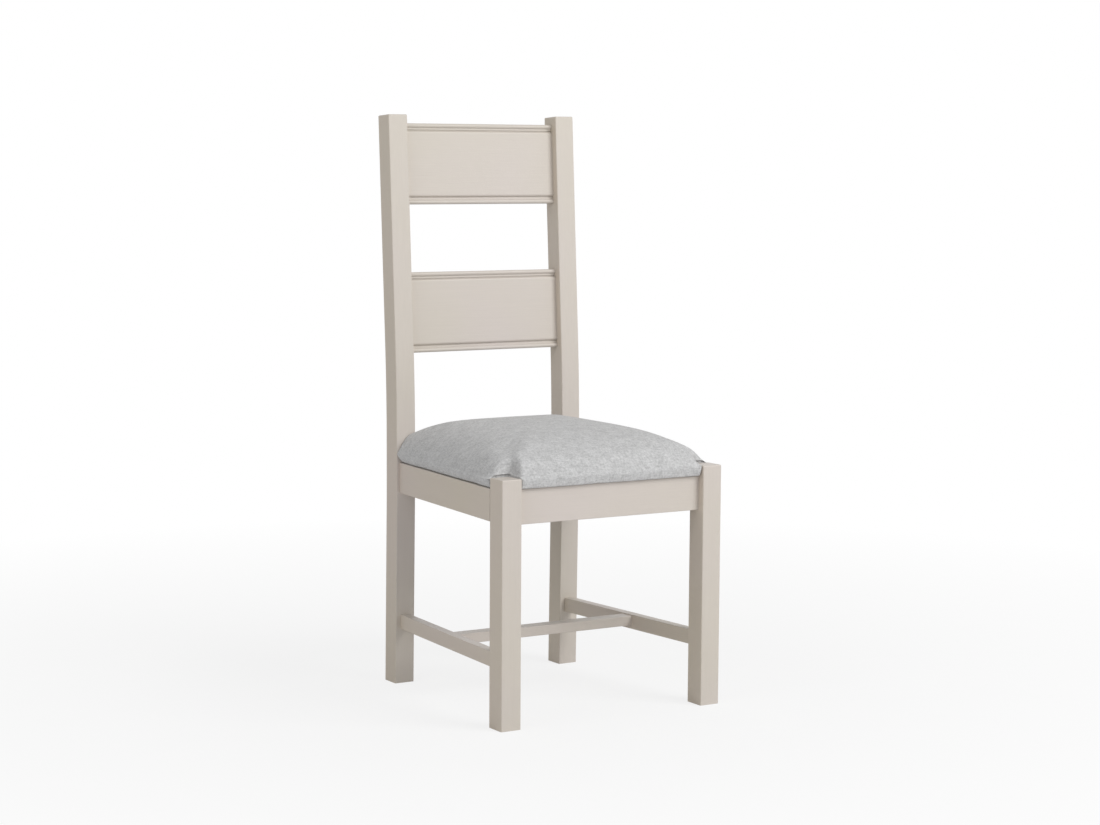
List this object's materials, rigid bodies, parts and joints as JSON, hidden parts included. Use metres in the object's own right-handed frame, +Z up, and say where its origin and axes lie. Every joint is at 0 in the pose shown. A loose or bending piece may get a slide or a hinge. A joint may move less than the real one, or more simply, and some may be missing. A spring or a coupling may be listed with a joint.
{
  "type": "dining chair",
  "caption": "Painted wooden ladderback dining chair with flat moulded slats, square legs, an H of stretchers and a crowned fabric seat pad.",
  "frame": {"origin": "on the floor, under the middle of the chair's box", "axes": "+Z up, the sitter faces -Y, +X is right as seen from the front"},
  "size_m": [0.4526, 0.5037, 1.0499],
  "materials": {
    "painted_wood": "satin off-white paint over wood",
    "raw_wood": "bare, matt",
    "plywood": "bare, matt",
    "steel": "zinc plated",
    "foam": "open-cell foam",
    "seat_fabric": "heathered grey weave, matt",
    "lining": "black non-woven cloth"
  },
  "bodies": {
    "root": {"front_leg_left": "painted_wood", "front_leg_right": "painted_wood", "back_post_left": "painted_wood", "back_post_right": "painted_wood", "front_seat_rail": "painted_wood", "back_seat_rail": "painted_wood", "side_seat_rail_left": "painted_wood", "side_seat_rail_right": "painted_wood", "side_stretcher_left": "painted_wood", "side_stretcher_right": "painted_wood", "centre_stretcher": "painted_wood", "top_slat": "painted_wood", "lower_slat": "painted_wood", "corner_block_front_left": "raw_wood", "corner_block_front_right": "raw_wood", "corner_block_back_left": "raw_wood", "corner_block_back_right": "raw_wood", "seat_board": "plywood", "corner_block_screws": "steel", "seat_screws": "steel", "cover_staples": "steel", "dust_cover_staples": "steel", "seat_foam": "foam", "seat_cover": "seat_fabric", "seat_dust_cover": "lining"}
  },
  "joints": []
}
